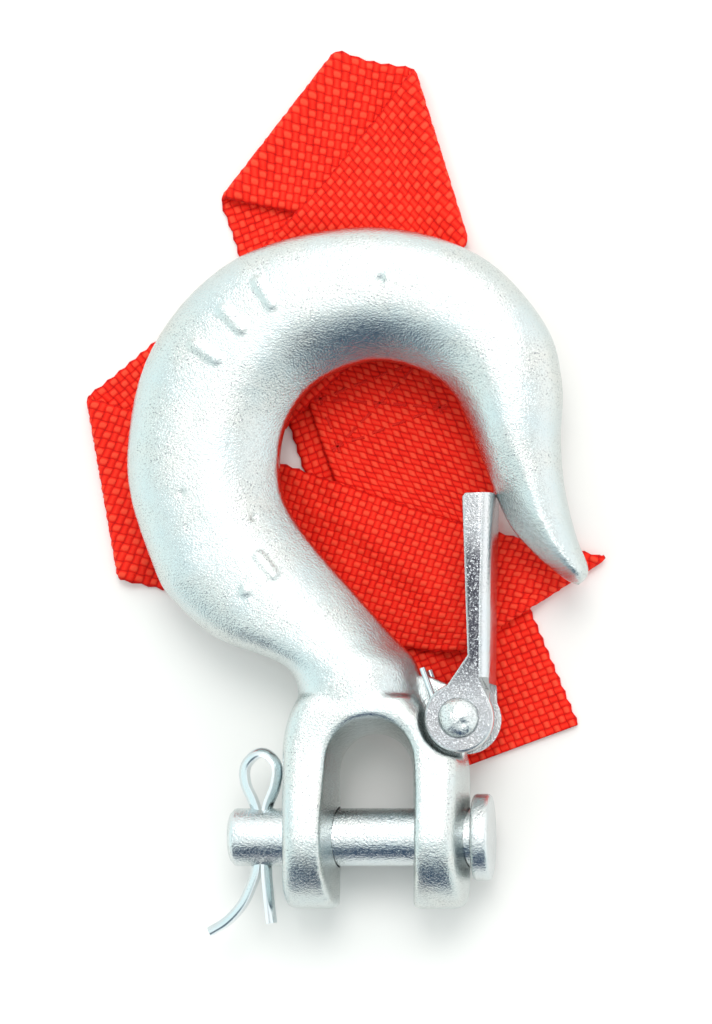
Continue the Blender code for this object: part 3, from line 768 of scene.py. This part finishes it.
pinSize = {
    "radius": 4.76, "end": -24.4, "headAt": 16.1, "headRadius": 7.1, "headThick": 3.0,
    "sides": 96, "bands": 24,
    "endRound": [(0.0, 1.1), (0.15, 0.75), (0.8, 0.08), (1.2, 0.0)],    # along from the end, under the radius
    "fillet": 0.2, "backRound": 0.6, "frontRound": 0.7, "headFlat": 2.0, "headMiddle": 1.2,
    "hole": 1.75, "holeReach": 7.0, "sharp": 40,
}


def makeClevisPin(size):
    head, radius, rim = size["headAt"] + size["headThick"], size["radius"], size["headRadius"]
    profile = [(size["end"] + along, radius - inset) for along, inset in size["endRound"]]
    start = profile[-1][0]
    stop = size["headAt"] - size["fillet"]
    profile += [(start + (stop - start) * k / size["bands"], radius) for k in range(1, size["bands"] + 1)]
    profile += [(size["headAt"], radius + size["fillet"]), (size["headAt"], rim - size["backRound"])]
    back, front = size["backRound"], size["frontRound"]
    profile += arc((size["headAt"] + back, rim - back), back, 150, 90, 2)
    profile += arc((head - front, rim - front), front, 90, 0, 3)
    profile += [(head, rim - size["headFlat"]), (head, size["headMiddle"])]
    pin = makeMesh("clevisPinTurned", *turnX(profile, size["sides"]))
    hole = skin([
        [(crossHoleX + size["hole"] * c, y, size["hole"] * s) for c, s in roundWays(40)]
        for y in (-size["holeReach"], size["holeReach"])])
    cutOrJoin(pin, makeMesh("crossHoleCut", *hole), "DIFFERENCE")
    applyAll(pin)
    dress(pin.data, zincTurned, size["sharp"])
    return pin


clevisPin = makeClevisPin(pinSize)
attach(clevisPin, "clevis_pin")
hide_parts("clevis_pin")

splitPinSize = {        # the route runs along the flat side from the bent leg, with x from the cross hole
    "radius": 1.58, "perSpan": 7, "sharp": 50,
    "around": (0, 8, 20, 36, 54, 72, 90, 108, 126, 144, 160, 172, 180),
    "route": [
        (-8.3, -16.2), (-5.4, -14.4), (-2.8, -11.6), (-1.2, -8.4), (-0.2, -5.2), (-0.1, 0.0), (-0.1, 3.6),
        (-0.9, 6.3), (-2.1, 9.0), (-2.1, 11.6), (-0.1, 13.2), (1.8, 11.6), (1.6, 8.6), (0.5, 5.8), (0.1, 3.6),
        (0.1, 0.0), (0.1, -5.2), (0.5, -10.0), (1.0, -14.2),
    ],
}


def makeSplitPin(size):  # half-round wire bent double, its flat side turned inwards all the way
    path = smoothPath([(crossHoleX + x, y) for x, y in size["route"]], size["perSpan"])
    rings = []
    for i, (px, py) in enumerate(path):
        ax, ay = path[max(i - 1, 0)]
        bx, by = path[min(i + 1, len(path) - 1)]
        length = math.hypot(bx - ax, by - ay)
        nx, ny = (by - ay) / length, (ax - bx) / length
        ring = []
        for a in size["around"]:
            out, side = size["radius"] * math.sin(math.radians(a)), size["radius"] * math.cos(math.radians(a))
            ring.append((px - nx * out, py - ny * out, side))
        rings.append(ring)
    return makeMesh("splitPinWire", *skin(rings), zincWire, size["sharp"])


splitPin = makeSplitPin(splitPinSize)
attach(splitPin, "split_pin")
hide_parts("split_pin")
print("pins made")

strapSize = {
    "width": 26.0, "thick": 1.2, "layer": 1.45, "ramp": 5.0, "rowStep": 0.6, "columns": 38, "perSpan": 6,
    "sink": 0.13, "crown": 0.05, "edge": 0.32, "selvage": 0.22, "tooth": 0.16, "sharp": 75,
    "top": 3.72, "pastHook": 100.0, "pastOver": 6.0,        # the highest face, and where it may be passed
    "spread": 7.0, "ease": 5.0, "settle": 2.0,              # how far a crease's puff and bend reach
}
strapRuns = {           # selvage corners in plan, in the order the webbing runs
    "standing": [
        ((8.3, 9.9), (32.2, 18.6)), ((-5.3, 41.6), (19.0, 50.5)), ((-14.0, 62.3), (10.6, 71.3)),
        ((-28.0, 108.6), (-8.5, 133.2)),
    ],
    "top": [((-28.0, 108.6), (-8.5, 133.2)), ((13.8, 100.5), (4.8, 130.0))],
    "slant": [((13.8, 100.5), (4.8, 130.0)), ((3.0, 87.5), (-14.0, 106.5)), ((-45.6, 44.0), (-51.3, 75.0))],
    "cross": [
        ((-45.6, 44.0), (-51.3, 75.0)), ((-24.5, 38.6), (-17.5, 62.8)), ((3.5, 31.8), (13.1, 52.2)),
        ((13.7, 31.6), (37.0, 46.7)),
    ],
    "back": [
        ((13.7, 31.6), (37.0, 46.7)), ((7.5, 43.0), (20.4, 48.6)), ((-5.4, 53.7), (17.5, 61.8)),
        ((-14.5, 77.8), (8.6, 86.2)),
    ],
}
strapOver = {           # the runs that lie under each run
    "standing": [], "top": ["standing"], "slant": ["standing", "top", "back"],
    "cross": ["standing", "slant", "back"], "back": ["standing"],
}
strapPuff = {"top": 0.9, "slant": 1.0, "cross": 0.35, "back": 0.0}      # how much each fold springs open
ripples = [             # in the crossing run: x, y, angle, length, width, rise
    (8.8, 38.5, 53, 6.5, 1.7, 0.9), (14.5, 46.0, 50, 5.0, 2.2, 0.5), (22.0, 40.0, 25, 6.0, 2.5, 0.35),
]


def rampInside(quad, x, y, ramp):  # 1 inside a four-cornered patch, falling to 0 over the ramp outside it
    (a, b), (d, c) = quad
    corners = [a, b, c, d]
    area = sum(p[0] * q[1] - q[0] * p[1] for p, q in zip(corners, corners[1:] + corners[:1]))
    nearest = np.full(np.shape(x), 1e9)
    for (px, py), (qx, qy) in zip(corners, corners[1:] + corners[:1]):
        inward = ((qx - px) * (y - py) - (qy - py) * (x - px)) / math.hypot(qx - px, qy - py)
        nearest = np.minimum(nearest, inward * math.copysign(1, area))
    return smoothStep(1.0 + nearest / ramp)


def runHeight(run, x, y, size):  # height of a run's middle surface: a layer for each run under it
    level = np.zeros(np.shape(x))
    for under in strapOver[run]:
        rungs = strapRuns[under]
        level += np.max([rampInside(quad, x, y, size["ramp"]) for quad in zip(rungs, rungs[1:])], axis=0)
    height = level * size["layer"]
    if run == "cross":
        for rx, ry, angle, length, width, rise in ripples:
            c, s = math.cos(math.radians(angle)), math.sin(math.radians(angle))
            along, away = (x - rx) * c + (y - ry) * s, (x - rx) * s - (y - ry) * c
            height += rise * np.exp(-(along / length) ** 2 - (away / width) ** 2)
    return height


def strapRungs(size):  # all the rungs in one row, and the number of the run that each span belongs to
    rungs, owner = [], []
    for number, given in enumerate(strapRuns.values()):
        flat = [(*a, *b) for a, b in given]
        fine = smoothPath(flat, size["perSpan"]) if len(flat) > 2 else flat
        rungs += fine[1:] if rungs else fine
        owner += [number] * (len(fine) - 1)
    return np.array(rungs), np.array(owner)


def foldOver(number, s, plan, z, runs, size):  # rolls two neighbouring runs round the crease that they share
    names = list(strapRuns)
    a, b = (np.array(p) for p in strapRuns[names[number]][0])
    line = (b - a) / np.linalg.norm(b - a)
    out = np.array((line[1], -line[0]))
    edge = a * (1 - s) + b * s
    before = plan[runs == number - 1][-8]
    out *= math.copysign(1, np.dot(edge - before, out))
    mine = (runs == number) | (runs == number - 1)
    distance = (edge - plan[mine]) @ out
    low, high = (float(runHeight(names[i], edge[:1], edge[1:], size)[0]) for i in (number - 1, number))
    puff = strapPuff[names[number]] * math.copysign(1, high - low)
    upper = runs[mine] == number
    height = z[mine] + np.where(upper, puff, 0.0) * np.exp(-np.maximum(distance, 0) / size["spread"])
    radius = 0.5 * abs(high + puff - low)
    bend = 0.5 * math.pi * radius
    turn = np.clip(distance / bend, 0, 1) * 0.5 * math.pi
    side = np.where(upper, 1.0, -1.0) * math.copysign(1, high - low)
    eased = distance - (bend - radius) * np.clip(1 - (distance - bend) / size["ease"], 0, 1) ** 2
    nearer = np.where(distance < bend, radius * (1 - np.cos(turn)), eased)
    moved = plan[mine] + out * (distance - nearer)[:, None]
    blend = smoothStep((distance - bend) / size["settle"])
    rolled = 0.5 * (low + high + puff) + side * radius * np.sin(turn)
    plan[mine] = np.where((distance < bend + size["ease"])[:, None], moved, plan[mine])
    z[mine] = np.where(distance < bend + size["settle"], rolled * (1 - blend) + height * blend, height)


def strapSheet(size):  # the webbing's middle surface as rows of equal length steps, folded run by run
    rungs, owner = strapRungs(size)
    steps = np.diff(rungs, axis=0)
    lengths = np.zeros((len(rungs), 2))
    lengths[1:, 0] = np.cumsum(np.hypot(steps[:, 0], steps[:, 1]))
    lengths[1:, 1] = np.cumsum(np.hypot(steps[:, 2], steps[:, 3]))
    rows = int(lengths[-1].max() / size["rowStep"]) // 2 * 2 + 1
    u = np.arange(rows) * size["rowStep"]
    share = np.arange(size["columns"] + 1) / size["columns"]
    surface = np.zeros((rows, len(share), 3))
    for j, s in enumerate(share):
        marks = lengths[:, 0] * (1 - s) + lengths[:, 1] * s
        places = rungs[:, :2] * (1 - s) + rungs[:, 2:] * s
        index = np.clip(np.searchsorted(marks, u, side="right") - 1, 0, len(marks) - 2)
        t = (u - marks[index]) / (marks[index + 1] - marks[index])
        plan = places[index] + (places[index + 1] - places[index]) * t[:, None]
        runs = owner[index]
        z = np.zeros(rows)
        for number, run in enumerate(strapRuns):
            mine = runs == number
            z[mine] = runHeight(run, plan[mine, 0], plan[mine, 1], size)
        for number in range(1, len(strapRuns)):
            foldOver(number, s, plan, z, runs, size)
        surface[:, j, :2] = plan
        surface[:, j, 2] = z
    held = np.minimum(surface[..., 2], size["top"] - 0.5 * size["thick"])
    beyond = smoothStep((surface[..., 1] - size["pastHook"]) / size["pastOver"])
    surface[..., 2] = held + (surface[..., 2] - held) * beyond      # only folds past the hook stand higher
    return surface, u, share * size["width"]


def strapSolid(surface, u, v, size):  # gives the webbing its thickness, woven relief and rounded selvages
    rows, columns = surface.shape[:2]
    sideways = np.gradient(surface, axis=1)
    normal = np.cross(np.gradient(surface, axis=0), sideways)
    normal /= np.linalg.norm(normal, axis=2)[..., None] + 1e-9
    sideways /= np.linalg.norm(sideways, axis=2)[..., None] + 1e-9
    m, n = np.meshgrid(np.arange(rows), np.arange(columns), indexing="ij")
    sunk, raised = (m % 2 == 0) & (n % 2 == 0), (m % 2 == 1) & (n % 2 == 1)
    relief = np.where(sunk, -size["sink"], np.where(raised, size["crown"], 0.0))
    half = 0.5 * size["thick"] - size["crown"] + relief
    half[:, 0] = half[:, -1] = size["edge"]
    upper = surface + normal * half[..., None]
    lower = surface - normal * half[..., None]
    tooth = size["tooth"] * np.cos(math.pi * np.arange(rows) / 2)[:, None]
    left = surface[:, 0] - sideways[:, 0] * (size["selvage"] + tooth)
    right = surface[:, -1] + sideways[:, -1] * (size["selvage"] - tooth)
    ring = np.concatenate((upper, right[:, None], lower[:, ::-1], left[:, None]), axis=1)
    count = ring.shape[1]
    faces = []
    for a in range(0, (rows - 1) * count, count):
        b = a + count
        faces += [(a + j, b + j, b + (j + 1) % count, a + (j + 1) % count) for j in range(count)]
    for base in (0, (rows - 1) * count):        # both cut ends, as strips with a triangle at each selvage
        right, last = base + columns, base + 2 * columns
        faces += [(base + j, base + j + 1, last - 1 - j, last - j) for j in range(columns - 1)]
        faces += [(right - 1, right, right + 1), (last, last + 1, base)]
    places = ring.reshape(-1, 3)
    places[:, 2] += 0.5 * size["thick"] + strapFloor
    strap = makeMesh("pullStrapWebbing", places, faces, redWebbing, size["sharp"])
    across = np.concatenate((v, [size["width"]], v[::-1], [0.0]))
    uv = np.stack(np.meshgrid(u, across, indexing="ij"), axis=2).reshape(-1, 2) * mm
    layer = strap.data.uv_layers.new(name="strip")
    index = np.empty(len(strap.data.loops), int)
    strap.data.loops.foreach_get("vertex_index", index)
    layer.data.foreach_set("uv", uv[index].ravel())
    return strap


surface, stripU, stripV = strapSheet(strapSize)
strap = strapSolid(surface, stripU, stripV, strapSize)
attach(strap, "strap")
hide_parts("pull_strap")
print("strap made:", round(float(stripU[-1])), "mm long,", len(strap.data.polygons), "faces")

stitchSize = {
    "length": 2.3, "thread": 0.28, "pitch": 3.1, "wander": 0.12, "seed": 5, "above": 0.02,
    "box": (64.5, 73.2, 15.0, 33.5),        # two places along the standing run, two across it
}


def stitchTree(size):  # Geometry Nodes: lays stitches along every seam line
    inputs = ("Stitch pitch", "Stitch length", "Thread radius", "Wander")
    tree, given, identifiers = startTree("seamStitches", inputs)
    seams = addNode(
        tree, "GeometryNodeCurveToPoints",
        {"Curve": given.outputs[0], "Length": given.outputs["Stitch pitch"]}, mode="LENGTH")
    half = addNode(tree, "ShaderNodeMath", {0: given.outputs["Stitch length"], 1: 0.5}, operation="MULTIPLY")
    minus = addNode(tree, "ShaderNodeMath", {0: half.outputs[0], 1: -1.0}, operation="MULTIPLY")
    start = addNode(tree, "ShaderNodeCombineXYZ", {"Z": minus.outputs[0]})
    middle = addNode(tree, "ShaderNodeCombineXYZ", {"Y": given.outputs["Thread radius"]})
    end = addNode(tree, "ShaderNodeCombineXYZ", {"Z": half.outputs[0]})
    bow = addNode(
        tree, "GeometryNodeCurveQuadraticBezier",
        {"Resolution": 5, "Start": start.outputs[0], "Middle": middle.outputs[0], "End": end.outputs[0]})
    outline = addNode(
        tree, "GeometryNodeCurvePrimitiveCircle", {"Resolution": 6, "Radius": given.outputs["Thread radius"]})
    stitch = addNode(
        tree, "GeometryNodeCurveToMesh",
        {"Curve": bow.outputs[0], "Profile Curve": outline.outputs[0], "Fill Caps": True})
    least = addNode(tree, "ShaderNodeMath", {0: given.outputs["Wander"], 1: -1.0}, operation="MULTIPLY")
    sway = addNode(
        tree, "FunctionNodeRandomValue",
        {2: least.outputs[0], 3: given.outputs["Wander"], "Seed": size["seed"]}, data_type="FLOAT")
    swing = addNode(tree, "ShaderNodeCombineXYZ", {"Y": sway.outputs[1]})
    turned = addNode(
        tree, "FunctionNodeRotateEuler",
        {"Rotation": seams.outputs["Rotation"], "Rotate By": swing.outputs[0]},
        rotation_type="EULER", space="LOCAL")
    laid = addNode(
        tree, "GeometryNodeInstanceOnPoints",
        {"Points": seams.outputs["Points"], "Instance": stitch.outputs[0], "Rotation": turned.outputs[0]})
    endTree(tree, given, laid.outputs[0])
    return tree, identifiers


def seamLines(size):  # the sewn box and its cross, lying on the upper of two layers
    low, high, left, right = size["box"]
    z = strapFloor + strapSize["layer"] + strapSize["thick"] + size["above"]
    corners = [(low, left), (low, right), (high, right), (high, left)]
    lines = list(zip(corners, corners[1:] + corners[:1])) + list(zip(corners, corners[2:]))
    (ax, ay), (bx, by) = strapRuns["standing"][0]       # the standing run's cut end, square to its selvages
    across = math.atan2(by - ay, bx - ax)
    c, s = math.cos(across), math.sin(across)
    return [[(o * c - a * s, o * s + a * c, z) for a, o in line] for line in lines]


def makeStitching(size):
    tree, identifiers = stitchTree(size)
    values = (size["pitch"] * mm, size["length"] * mm, size["thread"] * mm, size["wander"], redThread)
    return linkNew("boxStitches", runTree("boxStitches", seamLines(size), tree, identifiers, values))


stitches = makeStitching(stitchSize)
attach(stitches, "strap")
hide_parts("strap_stitching")
print("stitches made:", len(stitches.data.polygons), "faces")

floorLook = {"size": 1.6, "colour": "#F7F5F1", "rough": 0.6}     # matt paper: pale, with no shine of its own


def makeFloor(look):
    half = look["size"] / 2
    mesh = bpy.data.meshes.new("paleFloor")
    corners = [(-half, -half, 0), (half, -half, 0), (half, half, 0), (-half, half, 0)]
    mesh.from_pydata(corners, [], [(0, 1, 2, 3)])
    mat, tree, shader = newMaterial("matPaper")
    shader.inputs["Base Color"].default_value = hexColour(look["colour"])
    shader.inputs["Roughness"].default_value = look["rough"]
    mesh.materials.append(mat)
    return linkNew("paleFloor", mesh)


makeFloor(floorLook)

studioLight = {
    "lampToward": (0.10, 0.42, 0.90), "lampStrength": 0.75, "lampAngle": 26.0,      # soft, over the bowl
    "base": (0.82, 0.92, 0.92, 1.0), "strength": 1.08,
    "cards": [          # direction, inner and outer angle from it, colour and strength
        ((0.0, 0.95, 0.30), 30, 55, (1.0, 1.0, 0.98), 1.15),
        ((0.0, 0.38, 0.92), 22, 54, (1.0, 1.0, 1.0), 1.36),
        ((0.95, 0.15, 0.30), 22, 45, (1.0, 1.0, 1.0), 1.32),
        ((-0.90, 0.05, 0.43), 30, 52, (0.88, 1.0, 1.0), 1.22),
        ((-0.45, -0.74, 0.50), 12, 26, (0.80, 0.90, 1.0), 0.40),
        ((0.0, -0.92, 0.39), 26, 38, (0.38, 0.60, 1.0), 0.16),
        ((-0.42, 0.28, 0.86), 4, 14, (0.6, 0.8, 1.0), 0.20),
        ((0.52, 0.26, 0.81), 4, 14, (0.6, 0.8, 1.0), 0.10),
    ],
}


def makeLamp(values):
    data = bpy.data.lights.new("mainLamp", "SUN")
    data.energy = values["lampStrength"]
    data.angle = math.radians(values["lampAngle"])
    lamp = linkNew("mainLamp", data)
    lamp.rotation_euler = Vector(values["lampToward"]).to_track_quat("Z", "Y").to_euler()


def makeWorld(values):
    world = bpy.data.worlds.new("studio")
    bpy.context.scene.world = world
    world.use_nodes = True
    tree = world.node_tree
    way = addNode(tree, "ShaderNodeTexCoord").outputs["Generated"]
    colour = values["base"]
    for direction, inner, outer, tone, level in values["cards"]:
        aim = Vector(direction).normalized()
        facing = addNode(tree, "ShaderNodeVectorMath", {0: way, 1: aim}, operation="DOT_PRODUCT")
        share = addNode(
            tree, "ShaderNodeMapRange",
            {"Value": facing.outputs["Value"], "From Min": math.cos(math.radians(outer)),
             "From Max": math.cos(math.radians(inner))}, interpolation_type="SMOOTHSTEP")
        card = (*[c * level for c in tone], 1.0)
        mixed = addNode(
            tree, "ShaderNodeMix", {0: share.outputs["Result"], 6: colour, 7: card}, data_type="RGBA")
        colour = mixed.outputs[2]
    background = tree.nodes["Background"]
    tree.links.new(colour, background.inputs["Color"])
    background.inputs["Strength"].default_value = values["strength"]


makeLamp(studioLight)
makeWorld(studioLight)

cameraSet = {           # leans to the right and the front of upright, in degrees, and looks at the target
    "right": 8.5, "front": 5.0, "target": (-3.44, 53.76, 0.0), "distance": 600.0,
    "lens": 127.07, "sensor": 36.0, "clipStart": 10.0,
}


def makeCamera(values):
    right, front = math.radians(values["right"]), math.radians(values["front"])
    back = Vector((math.sin(right), -math.sin(front) * math.cos(right), math.cos(front) * math.cos(right)))
    across = Vector((0, 1, 0)).cross(back).normalized()
    up = back.cross(across)
    data = bpy.data.cameras.new("camera")
    data.lens = values["lens"]
    data.sensor_width = values["sensor"]
    data.clip_start = values["clipStart"] * mm
    camera = linkNew("camera", data)
    place = pinAt + (Vector(values["target"]) + back * values["distance"]) * mm
    camera.matrix_world = Matrix.Translation(place) @ Matrix((across, up, back)).transposed().to_4x4()
    bpy.context.scene.camera = camera


makeCamera(cameraSet)
bpy.context.scene.view_settings.view_transform = "Standard"
print("stage ready")
